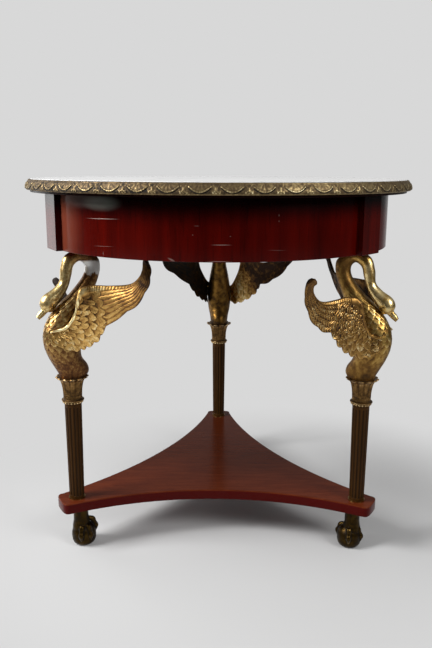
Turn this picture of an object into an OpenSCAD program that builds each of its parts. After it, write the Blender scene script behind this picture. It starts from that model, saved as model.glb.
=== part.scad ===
// Tripod gueridon with three swan legs, in millimetres.
// Origin on the floor below the middle of the top, +Z up, the front towards -Y.

/* [Top] */
// Diameter over the cast rim
top_d = 800; // [760:5:860]
// Thickness of the rim from its inner wall to its widest line
rim_w = 10; // [7:0.5:14]
// Height of the cast rim
rim_h = 20.6; // [18:0.2:24]
// Height of the board edge that shows under the rim
rim_reveal = 4; // [2:0.5:6]
// Number of cast lengths that make the rim
rim_lengths = 6; // [4:1:10]
// Thickness of the marble slab
marble_t = 15.8; // [12:0.2:22]
// Gap round the marble slab, inside the rim
marble_gap = 1.5; // [0.5:0.5:3]
// Width of the eased edge on the marble slab
marble_ease = 1; // [0.5:0.5:3]
// Thickness of the board under the marble
board_t = 9.5; // [8:0.5:16]

/* [Apron] */
// Diameter over the curved apron panels
apron_d = 708; // [690:2:730]
// Height of the apron
apron_h = 108.2; // [80:1:130]
// Thickness of a curved apron panel
apron_t = 22; // [16:1:28]
// Width of the flat block over each leg
block_w = 64; // [54:1:80]
// How far a block stands out from the curved panels
block_proud = 11; // [4:1:14]
// Width of the corner block that takes the neck screw
corner_w = 90; // [84:1:110]
// Height of the glue blocks under the board
glue_h = 30; // [20:1:40]

/* [Swan legs] */
// Diameter of the circle that the three leg axes stand on
leg_circle_d = 676; // [650:2:684]
// Height of a swan from its seat to the top of its neck
swan_h = 256; // [220:2:300]
// Thickness of a wing casting
wing_t = 5; // [4:0.5:7]
// Depth of the scallops along a wing's lower edge
wing_scallop = 5; // [2:0.5:7]
// Height of the feathers on a wing's outer face
wing_relief = 1.2; // [0.4:0.2:2]
// Height of the capital
capital_h = 55; // [48:1:66]
// Diameter of the capital's leafy top plate
capital_d = 65; // [60:1:72]
// Length of the fluted column
column_h = 209.3; // [150:1:260]
// Diameter of the column at its top
column_top_d = 34.5; // [32:0.5:38]
// Diameter of the column at its foot
column_foot_d = 30.5; // [28:0.5:34]
// Number of flutes round the column
flute_count = 14; // [10:1:18]
// Width of one flute
flute_w = 4.4; // [3:0.2:5.2]
// Number of beads round the foot of a capital
bead_count = 20; // [14:1:24]
// Diameter of one bead
bead_d = 4.6; // [3.6:0.2:4.8]
// Diameter of the tie rod inside each leg
rod_d = 8; // [6:1:9]

/* [Base] */
// Thickness of the three-sided plinth
plinth_t = 21.7; // [15:0.1:28]
// Width of the flat end of each plinth arm
plinth_tip_w = 56; // [46:1:70]
// How far a plinth arm runs out past its leg axis
plinth_tip_out = 32.5; // [26:0.5:40]
// Distance from the middle of the plinth to the middle of its hollow front side
plinth_front_waist = 132; // [100:2:180]
// Distance from the middle of the plinth to the middle of each hollow rear side
plinth_rear_waist = 158; // [100:2:180]
// Height of a foot
foot_h = 85; // [76:1:100]
// Diameter of the ball under the claw
ball_d = 51; // [46:1:56]
// Diameter of the foot's stem
stem_d = 31; // [29:1:36]
// How far the stem sits inside the leg axis
foot_inset = 7; // [0:0.5:7]

/* [Hidden] */
LEGS = ["left", "right", "back"];
leg_angles = [210, 330, 90];
// The left block was set a little behind its leg, the right one 9 degrees in front
block_angles = [208.7, 321, 90];

// Smoothness of round parts
$fn = 96;
// Overlap that lets cuts run clear of a face
eps = 0.5;
// Gap between pieces that sit against each other on a curve
seat_gap = 0.3;
// Clearance round a screw, pin or rod in its hole
pin_gap = 0.1;

// Heights of the stack, from the floor up
leg_r = leg_circle_d / 2;
z_plinth = foot_h;
z_column = z_plinth + plinth_t;
z_capital = z_column + column_h;
z_swan = z_capital + capital_h;
z_apron = z_swan + swan_h;
z_board = z_apron + apron_h;
z_marble = z_board + board_t + seat_gap;
z_rim = z_board + rim_reveal;

// Plan of the top and the apron
rim_inner_r = top_d / 2 - rim_w;
board_r = rim_inner_r - 0.2;
marble_r = rim_inner_r - marble_gap;
apron_r = apron_d / 2;
apron_inner_r = apron_r - apron_t;
// How far a block reaches in behind the panels
block_tail = 4;
block_back = apron_inner_r - block_tail;
block_front = apron_r + block_proud;

// Swan outline as cast, 256 high: outer edge [out, up], inner edge [out, up], half width.
// It runs from the seat up the breast, through the neck arch and down to the beak.
swan_cast_h = 256;
swan_k = swan_h / swan_cast_h;
cast_gap = seat_gap / swan_k;
cast_wing_t = wing_t / swan_k;
cast_scallop = wing_scallop / swan_k;
cast_relief = wing_relief / swan_k;
swan_outline = [
    [24, 0, -30, 0, 21.5],
    [27, 9, -35, 10, 22.5],
    [35, 24, -32, 23, 24.5],
    [44, 41, -21, 40, 28.5],
    [52, 62, -19.5, 59, 31],
    [55, 84, -22, 82, 31],
    [51, 107, -28, 108, 28.5],
    [39, 129, -38, 140, 24],
    [23, 147, -49, 168, 19.5],
    [-4, 170, -61, 196, 16],
    [-30, 200, -66, 218, 13.6],
    [-35, 221, -61, 238, 12.6],
    [-25, 232, -30, 255, 12],
    [-12, 224, 3, 245, 11.4],
    [-7, 206, 14, 220, 11],
    [0, 184, 17, 195, 10.8],
    [11, 165, 30, 181, 12.4],
    [27, 145, 50, 168, 14.5],
    [35.5, 136.5, 57, 153, 12.5],
    [44, 134.5, 56.5, 142.5, 6.6],
    [54, 129, 61.5, 134.5, 4.8],
    [62.5, 125, 66, 128, 2.8]
];
ring_sides = 16;
steps_per_station = 2;

// Wings as cast: leading edge [out, side, up] and trailing edge [out, side, up] of one sheet,
// from the root on the breast, over the shoulder, to the tip. Side is away from the swan.
left_wing_edges = [
    [45, 22, 102, 45, 24, 79],
    [17, 34, 114, 14, 31, 63],
    [4, 49, 143, -9, 33, 63],
    [3, 56, 166, -22, 43, 70],
    [-5, 58, 187, -37, 60, 86],
    [-30, 62, 192, -46, 77, 112],
    [-58, 80, 192, -68, 104, 137],
    [-88, 104, 196, -89, 133, 162],
    [-99, 122, 210, -104, 146, 192],
    [-105, 126, 225, -111, 146, 213],
    [-106, 126, 238, -115, 136, 232],
    [-109, 126, 246, -111, 129, 246]
];
right_wing_edges = [
    [41, 24, 95, 46, 24, 70],
    [22, 35, 103, 26, 32, 55],
    [14, 49, 133, 3, 50, 58],
    [13, 56, 158, -9, 74, 70],
    [2, 58, 172, -18, 97, 90],
    [-15, 70, 175, -28, 108, 111],
    [-28, 93, 172, -39, 130, 120],
    [-40, 118, 171, -46, 160, 142],
    [-45, 140, 178, -47, 184, 170],
    [-46, 160, 195, -47, 194, 191],
    [-41, 170, 211, -45, 190, 212],
    [-36, 172, 219, -40, 180, 223]
];
// Height below which a wing is kept off the breast
breast_top = 150;
wing_camber = 5;
root_scallops = 7;
primary_scallops = 4;
feather_rows = 4;
wing_rows = 2 * feather_rows;
// Shares of the span where the short feathers start, the long ones start, and the plain tip starts
root_at = 0.12;
primary_at = 0.46;
tip_at = 0.94;
// Shares of the span where a wing's mesh has a column: three to a short feather, four to a long one
wing_shares = concat(
    [for (k = [0 : 2]) k / 3 * root_at],
    [for (k = [0 : 3 * root_scallops - 1]) root_at + k / (3 * root_scallops) * (primary_at - root_at)],
    [for (k = [0 : 4 * primary_scallops - 1])
        primary_at + k / (4 * primary_scallops) * (tip_at - primary_at)],
    [for (k = [0 : 3]) tip_at + k / 3 * (1 - tip_at)]);
wing_columns = len(wing_shares) - 1;
// How each leg's wings were bent when fitted: [drop, sweep back] in degrees, past the root
left_wing_set = [[0, 0], [0, 12], [0, 0]];
right_wing_set = [[18, 0], [0, 0], [0, 0]];
wing_hinge = [10, 32, 85];
// Pins that hold a wing to the breast: [out, up] of each
left_pin_places = [[16, 76], [15, 98]];
right_pin_places = [[27, 68], [24, 90]];
wing_pin_d = 4;
wing_pin_in = 9;
wing_pin_out = 3;

// Neck screw and corner blocks
neck_cast_x = -28;
neck_x = neck_cast_x * swan_k;
neck_screw_d = 6;
neck_screw_up = 45;
neck_screw_down = 14;
neck_pad_d = 17;
neck_pad_h = 10;
corner_behind = 36;
// Wood left between the neck screw and the flat block
corner_before = 18;

// Screws that hold the board to the glue blocks
glue_w = 50;
glue_d = 26;
glue_turns = [-25, 25];
// Thickness of the glue between a glue block and a curved panel
glue_line = 0.1;
glue_r = apron_inner_r - glue_d / 2 - 1;
board_screw_d = 4;
board_screw_into = 6;

// Rim pins
pins_per_length = 2;
rim_pin_d = 2;
rim_pin_in = 12;
// How deep a pin's head lies under the widest line of the rim
rim_pin_deep = 3;
rim_pin_up = 3;

// Capital, column and foot details
flange_t = 2.4;
flange_lobes = 12;
flange_seat = 6;
lobe_cut_r = 4;
lobe_cut_out = 1.5;
flute_end = 7;
ring_h = 2.4;
ring_lip = 1.6;
rod_into_swan = 32;
rod_into_foot = 42;
ball_up = 23.5;
ball_back = 5;
talon_d = 10;
// Talons of each leg's foot: [turn from outwards, how far it is set up the ball]
talons = [[[58, 0], [105, 0], [170, 9], [290, 0]],
          [[0, 0], [72, 0], [180, 0], [288, 0]],
          [[0, 0], [72, 0], [180, 0], [288, 0]]];
// Foot of the stem: [above the middle of the ball, wider than the stem's radius by]
stem_swell = [[12, 3], [20, 2.4], [30, 0]];
// Capital: how far the collar and the throat stand out from the column, and the throat's ends
collar_out = 5.5;
throat_out = 0.9;
throat_low = 10;
throat_high = 17;
// Seat of the beads: [out from the throat, up], and the collar above it: [out from the collar's radius, up]
bead_seat = [[1, 0], [2.4, 1.2], [2.4, 2.8]];
collar_section = [[-1, 3.6], [0, 5], [0, 6.6], [-1, 8]];
// Bell: [out from the throat, share of the capital's height]
bell_section = [[1.2, 0.55], [2.6, 0.75], [5, 0.88]];
// Rim: [in from its widest line, share of its height], from the bottom bead up to the top fillet
rim_face = [[3, 0], [0.5, 0.14], [0, 0.3], [1.2, 0.5], [4, 0.72], [5.5, 0.86], [7, 1]];

function catmull(p0, p1, p2, p3, t) = 0.5 * (2 * p1 + (p2 - p0) * t
    + (2 * p0 - 5 * p1 + 4 * p2 - p3) * t * t + (3 * p1 - p0 - 3 * p2 + p3) * t * t * t);

// Point at share u, from 0 to 1, of a smooth curve through the stations
function curve_at(stations, u) = let (
    spans = len(stations) - 1,
    i = min(floor(u * spans), spans - 1))
    catmull(stations[max(i - 1, 0)], stations[i], stations[i + 1],
            stations[min(i + 2, spans)], u * spans - i);

// Turn of the apron panel that starts at block i
function panel_turn(i) = (block_angles[(i + 1) % 3] - block_angles[i] + 360) % 360;

function unit(v) = v / max(norm(v), 0.0001);

// One closed ring of the swan: an ellipse through its outer and inner edge
function swan_ring(s) = let (
    middle = [(s[0] + s[2]) / 2, 0, (s[1] + s[3]) / 2],
    depth = [(s[0] - s[2]) / 2, 0, (s[1] - s[3]) / 2])
    [for (k = [0 : ring_sides - 1])
        swan_k * (middle + depth * cos(360 * k / ring_sides) + [0, s[4] * sin(360 * k / ring_sides), 0])];

// Half width of the swan's breast at a place [out, up], as cast
function breast_half(x, z) = let (
    spans = len(swan_outline) - 1,
    heights = [for (i = [0 : 8]) (swan_outline[i][1] + swan_outline[i][3]) / 2],
    i = min(max([for (k = [0 : 8]) if (heights[k] <= z) k]), 7),
    s = curve_at(swan_outline, (i + (z - heights[i]) / (heights[i + 1] - heights[i])) / spans),
    off = (x - (s[0] + s[2]) / 2) / ((s[0] - s[2]) / 2))
    abs(off) < 1 ? s[4] * sqrt(1 - off * off) : 0;

// Closed mesh over rings of equal length, with flat ends
module loft(rings) {
    n = len(rings[0]);
    last = len(rings) - 1;
    sides = [for (i = [0 : last - 1]) for (k = [0 : n - 1]) let (m = (k + 1) % n)
        each [[i * n + k, (i + 1) * n + k, (i + 1) * n + m], [i * n + k, (i + 1) * n + m, i * n + m]]];
    ends = [[for (k = [0 : n - 1]) k], [for (k = [n - 1 : -1 : 0]) last * n + k]];
    polyhedron([for (r = rings) each r], concat(sides, ends));
}

// Depth of the scalloped edge at share u of the span: short feathers, then long ones
function scallop(u) =
    u < root_at || u > tip_at ? 0 :
    u < primary_at ? abs(sin(180 * root_scallops * (u - root_at) / (primary_at - root_at))) :
    0.6 * abs(sin(180 * primary_scallops * (u - primary_at) / (tip_at - primary_at)));

// Rise of the outer face, from 0 between the feathers to 1 on them: short ones in rows, long ones in ribs
function feather(u, v) =
    let (rib = abs(sin(180 * feather_rows * v)), stagger = floor(feather_rows * v) % 2 / 2,
         along = root_scallops * (u - root_at) / (primary_at - root_at) + stagger)
    u < root_at || u > tip_at ? 0 : u < primary_at ? rib * abs(sin(180 * along)) : rib;

// A wing point turned about the hinge: down and outwards by drop, then back by sweep
function bent(p, drop, sweep) = let (
    r = p - wing_hinge,
    d = [r[0], r[1] * cos(drop) + r[2] * sin(drop), r[2] * cos(drop) - r[1] * sin(drop)])
    wing_hinge + [d[0] * cos(sweep) - d[1] * sin(sweep), d[1] * cos(sweep) + d[0] * sin(sweep), d[2]];

// Middle sheet of a wing at share u of the span and v of the chord, as cast
function wing_sheet(edges, set, u, v) = let (
    e = curve_at(edges, u),
    lead = [e[0], e[1], e[2]],
    trail = [e[3], e[4], e[5]],
    down = unit(trail - lead),
    flat = lead + (trail - lead) * v + down * cast_scallop * scallop(u) * v * v,
    ease = min(1, max(0, (u - 0.08) / 0.3)),
    p = bent(flat, set[0] * ease, set[1] * ease),
    rest = breast_half(p[0], p[2]) + cast_gap + cast_wing_t / 2)
    [p[0], max(p[1], p[2] < breast_top ? rest : 0), p[2]];

function wing_normal(edges, set, u, v) = let (
    h = 0.01,
    across = wing_sheet(edges, set, min(u + h, 1), v) - wing_sheet(edges, set, max(u - h, 0), v),
    along = wing_sheet(edges, set, u, min(v + h, 1)) - wing_sheet(edges, set, u, max(v - h, 0)))
    unit(cross(along, across));

// One face of a wing: side is +1 for the outer face and -1 for the inner one
function wing_face(edges, set, side) = [for (i = [0 : wing_columns]) for (j = [0 : wing_rows])
    let (u = wing_shares[i], v = j / wing_rows, n = wing_normal(edges, set, u, v),
         bulge = wing_camber * sin(180 * v) * min(1, max(0, u - 0.3) * 4),
         thick = cast_wing_t * (1 - 0.5 * v) * (1 - 0.3 * u),
         rise = side > 0 ? cast_relief * feather(u, v) : 0)
        swan_k * (wing_sheet(edges, set, u, v) + n * (bulge + side * thick / 2 + rise))];

// Closed wing casting; turn is +1 for the swan's left wing and -1 for its right
module wing_casting(edges, set, turn) {
    outer = wing_face(edges, set, 1);
    inner = wing_face(edges, set, -1);
    row = wing_rows + 1;
    count = len(outer);
    points = [for (p = concat(outer, inner)) [p[0], turn * p[1], p[2]]];
    skin = [for (i = [0 : wing_columns - 1]) for (j = [0 : wing_rows - 1])
        let (a = i * row + j, b = a + 1, c = a + row, d = c + 1)
            each [[a, b, d], [a, d, c],
                  [count + a, count + d, count + b], [count + a, count + c, count + d]]];
    long_edges = [for (i = [0 : wing_columns - 1]) for (j = [0, wing_rows])
        let (a = i * row + j, c = a + row)
            each (j == 0 ? [[a, c, count + c], [a, count + c, count + a]]
                         : [[a, count + c, c], [a, count + a, count + c]])];
    short_edges = [for (j = [0 : wing_rows - 1]) for (i = [0, wing_columns])
        let (a = i * row + j, b = a + 1)
            each (i == 0 ? [[a, count + b, b], [a, count + a, count + b]]
                         : [[a, b, count + b], [a, count + b, count + a]])];
    faces = concat(skin, long_edges, short_edges);
    polyhedron(points, turn < 0 ? faces : [for (f = faces) [f[2], f[1], f[0]]]);
}

// Puts a leg's own frame, outwards along +X, at one of the three legs
module at_leg(i) {
    rotate(leg_angles[i]) translate([leg_r, 0, 0]) children();
}

module rod_hole(low, high, gap = pin_gap) {
    translate([0, 0, low]) cylinder(d = rod_d + 2 * gap, h = high - low);
}

module marble_top() {
    color("#e9e7e1") translate([0, 0, z_marble]) rotate_extrude()
        polygon([[0, 0], [marble_r, 0], [marble_r, marble_t - marble_ease],
                 [marble_r - marble_ease, marble_t], [0, marble_t]]);
}

module glue_place() {
    for (leg = leg_angles, turn = glue_turns) rotate(leg + 60 + turn) children();
}

module board_screw(gap = 0) {
    translate([glue_r, 0, z_board - glue_h])
        cylinder(d = board_screw_d + 2 * gap, h = glue_h + board_screw_into + gap);
}

module top_board() {
    color("#4a1f14") difference() {
        translate([0, 0, z_board]) cylinder(r = board_r, h = board_t);
        glue_place() board_screw(pin_gap);
        rim_pin_places() rim_pin(pin_gap);
    }
}

module rim_pin_places() {
    step = 360 / (rim_lengths * pins_per_length);
    for (i = [0 : rim_lengths * pins_per_length - 1]) rotate((i + 0.5) * step) children();
}

module rim_pin(gap = 0) {
    translate([top_d / 2 - rim_pin_deep - rim_pin_in, 0, z_rim + rim_pin_up]) rotate([0, 90, 0])
        cylinder(d = rim_pin_d + 2 * gap, h = rim_pin_in, $fn = 24);
}

// Section of the cast rim: a bottom bead, a hollow face and a small top fillet
module rim_section() {
    polygon(concat([[rim_inner_r, 0]], [for (p = rim_face) [top_d / 2 - p[0], rim_h * p[1]]],
                   [[rim_inner_r, rim_h]]));
}

module rim_segments() {
    turn = 360 / rim_lengths;
    joint = 0.03;
    color("#8a7a4e") difference() {
        for (i = [0 : rim_lengths - 1]) rotate(i * turn + joint) translate([0, 0, z_rim])
            rotate_extrude(angle = turn - 2 * joint, $fn = 180) rim_section();
        rim_pin_places() rim_pin(pin_gap);
    }
}

module rim_pins() {
    color("#b79a52") rim_pin_places() rim_pin();
}

module apron_panel(i) {
    color("#571811") difference() {
        translate([0, 0, z_apron]) rotate(block_angles[i]) rotate_extrude(angle = panel_turn(i), $fn = 180)
            translate([apron_inner_r, 0]) square([apron_t, apron_h]);
        for (k = [0 : 2]) block_room(k, eps);
        for (k = [0 : 2]) at_leg(k) neck_screw_body(pin_gap);
    }
}

// Room that a block takes up, over the apron's height and a little more at both ends
module block_room(i, more = 0) {
    rotate(block_angles[i]) translate([block_back, -block_w / 2, z_apron - more])
        cube([block_front - block_back, block_w, apron_h + 2 * more]);
}

module apron_block(i) {
    color("#5e1c13") difference() {
        block_room(i);
        at_leg(i) neck_screw_body(pin_gap);
    }
}

// Corner block behind each block, planed to fit it
module corner_block(i) {
    inner = min(leg_r + neck_x, block_back - corner_before) - corner_behind;
    color("#a9825a") difference() {
        rotate(leg_angles[i]) translate([inner, -corner_w / 2, z_apron])
            cube([block_back - inner, corner_w, apron_h]);
        block_room(i, eps);
        at_leg(i) neck_screw_body(pin_gap);
    }
}

module neck_screw_body(gap = 0) {
    translate([neck_x, 0, z_apron - neck_screw_down - gap])
        cylinder(d = neck_screw_d + 2 * gap, h = neck_screw_down + neck_screw_up + 2 * gap, $fn = 32);
}

module neck_screw(i) {
    color("#8d8d8d") at_leg(i) neck_screw_body();
}

module glue_blocks() {
    color("#b08a60") difference() {
        intersection() {
            glue_place() translate([glue_r - glue_d / 2, -glue_w / 2, z_board - glue_h])
                cube([glue_d + glue_w / 10, glue_w, glue_h]);
            cylinder(r = apron_inner_r - glue_line, h = z_board, $fn = 180);
        }
        glue_place() board_screw(pin_gap);
    }
}

module board_screws() {
    color("#9b9b9b") glue_place() board_screw();
}

module wing_pin_set(gap = 0) {
    for (side = [1, -1], p = side > 0 ? left_pin_places : right_pin_places)
        translate([p[0] * swan_k, side * (breast_half(p[0], p[1]) + cast_gap) * swan_k, p[1] * swan_k])
            rotate([side * -90, 0, 0]) translate([0, 0, -wing_pin_in])
                cylinder(d = wing_pin_d + 2 * gap, h = wing_pin_in + wing_pin_out + gap, $fn = 24);
}

module wing_pins() {
    color("#b79a52") for (i = [0 : 2]) at_leg(i) translate([0, 0, z_swan]) wing_pin_set();
}

// Swan casting: the head hangs from the arched neck, its cheek close to the breast
module swan(i) {
    rings = (len(swan_outline) - 1) * steps_per_station;
    color("#9a7a3c") at_leg(i) difference() {
        union() {
            translate([0, 0, z_swan])
                loft([for (r = [0 : rings]) swan_ring(curve_at(swan_outline, r / rings))]);
            translate([neck_x, 0, z_apron - neck_pad_h]) cylinder(d = neck_pad_d, h = neck_pad_h, $fn = 32);
        }
        rod_hole(z_swan - eps, z_swan + rod_into_swan + 1);
        neck_screw_body(pin_gap);
        translate([0, 0, z_swan]) wing_pin_set(pin_gap);
    }
}

module swan_wing(i, turn) {
    color("#a5853f") at_leg(i) translate([0, 0, z_swan]) difference() {
        if (turn > 0) wing_casting(left_wing_edges, left_wing_set[i], 1);
        else wing_casting(right_wing_edges, right_wing_set[i], -1);
        wing_pin_set(pin_gap);
    }
}

// Turned capital: beaded ring, plain neck, flaring bell and a thin leafy plate
module capital(i) {
    collar_r = column_top_d / 2 + collar_out;
    neck_r = column_top_d / 2 + throat_out;
    bell_top = capital_h - flange_t;
    color("#8f7743") at_leg(i) translate([0, 0, z_capital]) difference() {
        union() {
            rotate_extrude() polygon(concat([[0, 0]],
                [for (p = bead_seat) [neck_r + p[0], p[1]]],
                [for (p = collar_section) [collar_r + p[0], p[1]]],
                [[neck_r, throat_low], [neck_r, throat_high], [neck_r + 1, throat_high + 1]],
                [for (p = bell_section) [neck_r + p[0], capital_h * p[1]]],
                [[capital_d / 2 - flange_seat, bell_top], [0, bell_top]]));
            translate([0, 0, bell_top]) cylinder(d = capital_d, h = flange_t);
            for (k = [0 : bead_count - 1]) rotate(k * 360 / bead_count)
                translate([neck_r + 1.6, 0, bead_d / 2 + 0.1]) sphere(d = bead_d, $fn = 24);
        }
        for (k = [0 : flange_lobes - 1]) rotate((k + 0.5) * 360 / flange_lobes)
            translate([capital_d / 2 + lobe_cut_out, 0, bell_top - eps])
                cylinder(r = lobe_cut_r, h = flange_t + 2 * eps, $fn = 24);
        rod_hole(-eps, capital_h + eps, seat_gap);
    }
}

module column(i) {
    taper = atan((column_top_d - column_foot_d) / 2 / column_h);
    mid_r = (column_top_d + column_foot_d) / 4;
    color("#3a2415") at_leg(i) difference() {
        translate([0, 0, z_column]) cylinder(d1 = column_foot_d, d2 = column_top_d, h = column_h);
        for (k = [0 : flute_count - 1]) rotate(k * 360 / flute_count)
            translate([mid_r + flute_w * 0.18, 0, z_column + column_h / 2]) rotate([0, taper, 0])
                cylinder(d = flute_w, h = column_h - 2 * flute_end, center = true, $fn = 24);
        rod_hole(z_column - eps, z_capital + eps, seat_gap);
    }
}

// Bright ring round the foot of each column
module base_rings() {
    color("#b79a52") for (i = [0 : 2]) at_leg(i) translate([0, 0, z_column]) difference() {
        cylinder(r = column_foot_d / 2 + seat_gap + ring_lip, h = ring_h);
        translate([0, 0, -eps]) cylinder(r = column_foot_d / 2 + seat_gap, h = ring_h + 2 * eps);
    }
}

// Three-armed plinth: straight ends, hollow sides struck as arcs
module plinth() {
    tip = leg_r + plinth_tip_out;
    chord = tip * cos(60) + plinth_tip_w / 2 * sin(60);
    half = tip * sin(60) - plinth_tip_w / 2 * cos(60);
    waists = [plinth_front_waist, plinth_rear_waist, plinth_rear_waist];
    color("#6d2115") difference() {
        translate([0, 0, z_plinth]) linear_extrude(plinth_t) difference() {
            polygon([for (a = leg_angles) each [
                [tip * cos(a) + plinth_tip_w / 2 * sin(a), tip * sin(a) - plinth_tip_w / 2 * cos(a)],
                [tip * cos(a) - plinth_tip_w / 2 * sin(a), tip * sin(a) + plinth_tip_w / 2 * cos(a)]]]);
            for (i = [0 : 2]) let (sag = chord - waists[i], arc_r = (half * half + sag * sag) / (2 * sag))
                rotate(leg_angles[i] + 60) translate([waists[i] + arc_r, 0]) circle(r = arc_r, $fn = 360);
        }
        for (i = [0 : 2]) at_leg(i) rod_hole(z_plinth - eps, z_column + eps, seat_gap);
    }
}

// Claw and ball foot: a stem, a ball with a flat underside and four talons over it
module foot(i) {
    ball_x = -foot_inset - ball_back;
    color("#4c3d22") at_leg(i) difference() {
        union() {
            translate([-foot_inset, 0, 0]) rotate_extrude() polygon(concat([[0, ball_up]],
                [for (s = stem_swell) [stem_d / 2 + s[1], ball_up + s[0]]],
                [[stem_d / 2, foot_h], [0, foot_h]]));
            translate([ball_x, 0, ball_up]) sphere(d = ball_d);
            for (t = talons[i]) translate([ball_x, 0, ball_up + t[1]]) rotate(t[0]) talon();
        }
        translate([ball_x, 0, -ball_d]) cylinder(d = 3 * ball_d, h = ball_d);
        rod_hole(foot_h - rod_into_foot - 1, foot_h + eps);
    }
}

module talon() {
    reach = ball_d / 2 - 1;
    rotate([90, 0, 0]) rotate_extrude(angle = 75, $fn = 48)
        translate([reach, 0]) circle(d = talon_d, $fn = 24);
    translate([reach, 0, 0]) sphere(d = talon_d + 1.6, $fn = 32);
    translate([reach * cos(40), 0, reach * sin(40)]) sphere(d = talon_d + 2, $fn = 32);
    translate([reach - 0.4, 0, -talon_d]) cylinder(d1 = 3, d2 = talon_d - 1, h = talon_d, $fn = 24);
}

module tie_rod(i) {
    color("#8d8d8d") at_leg(i)
        translate([0, 0, foot_h - rod_into_foot])
            cylinder(d = rod_d, h = z_swan + rod_into_swan - foot_h + rod_into_foot);
}

marble_top();
top_board();
rim_segments();
rim_pins();
glue_blocks();
board_screws();
plinth();
base_rings();
wing_pins();
apron_panel(0);  // apron_panel_front
apron_panel(1);  // apron_panel_right
apron_panel(2);  // apron_panel_left
for (i = [0 : 2]) {
    apron_block(i);
    corner_block(i);
    neck_screw(i);
    swan(i);
    swan_wing(i, 1);
    swan_wing(i, -1);
    capital(i);
    column(i);
    foot(i);
    tie_rod(i);
}
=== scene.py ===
import math

import bpy
import numpy as np
from mathutils import Matrix, Vector


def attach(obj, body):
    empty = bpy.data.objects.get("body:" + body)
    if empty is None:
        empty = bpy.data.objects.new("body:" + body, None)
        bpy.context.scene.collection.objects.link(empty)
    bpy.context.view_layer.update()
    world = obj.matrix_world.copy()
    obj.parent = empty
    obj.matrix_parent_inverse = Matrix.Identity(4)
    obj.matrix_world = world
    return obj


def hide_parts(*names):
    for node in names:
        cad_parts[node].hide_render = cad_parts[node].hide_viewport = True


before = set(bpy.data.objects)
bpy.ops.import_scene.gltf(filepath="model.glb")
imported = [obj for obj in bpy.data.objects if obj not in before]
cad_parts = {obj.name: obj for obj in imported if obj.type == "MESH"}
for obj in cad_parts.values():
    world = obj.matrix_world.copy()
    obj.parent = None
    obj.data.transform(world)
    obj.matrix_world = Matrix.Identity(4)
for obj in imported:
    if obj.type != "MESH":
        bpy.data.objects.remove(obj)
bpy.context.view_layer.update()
scene = bpy.context.scene

# The view: the camera stands 1.52 m in front of the table, just above its top, and looks down a little.
# Its place was worked out from the ellipse of the top and the three legs; 36 mm is the frame's long side.
camera_place = (0.0135, -1.5245, 0.7819)
pan, look_down, roll = 0.66, 12.54, 0.21
camera = bpy.data.objects.new("camera", bpy.data.cameras.new("camera"))
camera.data.sensor_width = 36
camera.data.lens = 38.92
camera.matrix_world = (Matrix.Translation(camera_place) @ Matrix.Rotation(math.radians(pan), 4, "Z")
                       @ Matrix.Rotation(math.radians(90 - look_down), 4, "X")
                       @ Matrix.Rotation(math.radians(roll), 4, "Z"))
scene.collection.objects.link(camera)
scene.camera = camera
scene.view_settings.view_transform = "Standard"


# The room: a pale studio with a dark side behind the camera, three soft lamps, and a pale floor that runs
# into the background. The dark side is what polished mahogany and bronze show in their fronts.
def paint(code):
    """Linear colour of an sRGB hex code: a power curve above its short straight foot."""
    share = np.array([int(code[i:i + 2], 16) for i in (1, 3, 5)]) / 255
    linear = np.where(share <= 0.04045, share / 12.92, ((share + 0.055) / 1.055) ** 2.4)
    return (*linear.tolist(), 1.0)


def add(tree, kind, sockets=(), **settings):
    """Adds a shader node with its settings. Its sockets take values, outputs of other nodes, or another node
    itself, for the first output that it has in use. A MapRange's sockets 1 and 2 are the values that it reads
    between, 3 and 4 those that it gives, 0 and 1 if they aren't set."""
    node = tree.nodes.new("ShaderNode" + kind)
    for name, value in settings.items():
        setattr(node, name, value)
    for name, value in dict(sockets).items():
        if isinstance(value, bpy.types.Node):
            value = next(output for output in value.outputs if output.enabled)
        if isinstance(value, bpy.types.NodeSocket):
            tree.links.new(value, node.inputs[name])
        else:
            node.inputs[name].default_value = value
    return node


def new_finish(name):
    """A new material, its emptied node tree, and the place in metres that its patterns are drawn by."""
    material = bpy.data.materials.new(name)
    material.use_nodes = True
    tree = material.node_tree
    tree.nodes.clear()
    return material, tree, add(tree, "TexCoord").outputs["Object"]


background = paint("#d8d8d8")
world = bpy.data.worlds.new("studio")
world.use_nodes = True
tree = world.node_tree
tree.nodes.clear()
direction = add(tree, "TexCoord").outputs["Object"]
parts = add(tree, "SeparateXYZ", {0: direction})
# Strength by direction: from dark to dim front to back, a bright paper wall low at the back, a dim ceiling
behind = add(tree, "MapRange", {0: parts.outputs["Y"], 1: -0.2, 2: 0.7, 3: 0.05, 4: 0.2})
level = add(tree, "MapRange", {0: parts.outputs["Z"], 1: 0.1, 2: 0.25, 3: 1.0, 4: 0.0})
far_off = add(tree, "MapRange", {0: parts.outputs["Y"], 1: 0.8, 2: 0.95, 4: 0.92})
paper_wall = add(tree, "Math", {0: level, 1: far_off}, operation="MULTIPLY")
ceiling = add(tree, "MapRange", {0: parts.outputs["Z"], 1: 0.1, 2: 0.9, 4: 0.36})
walls = add(tree, "Math", {0: behind, 1: paper_wall}, operation="ADD")
strength = add(tree, "Math", {0: walls, 1: ceiling}, operation="ADD")
room = add(tree, "Background", {"Color": background, "Strength": strength})
backdrop = add(tree, "Background", {"Color": background, "Strength": 1.0})
seen = add(tree, "LightPath").outputs["Is Camera Ray"]
mixed = add(tree, "MixShader", {0: seen, 1: room, 2: backdrop})
add(tree, "OutputWorld", {"Surface": mixed})
scene.world = world


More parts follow.
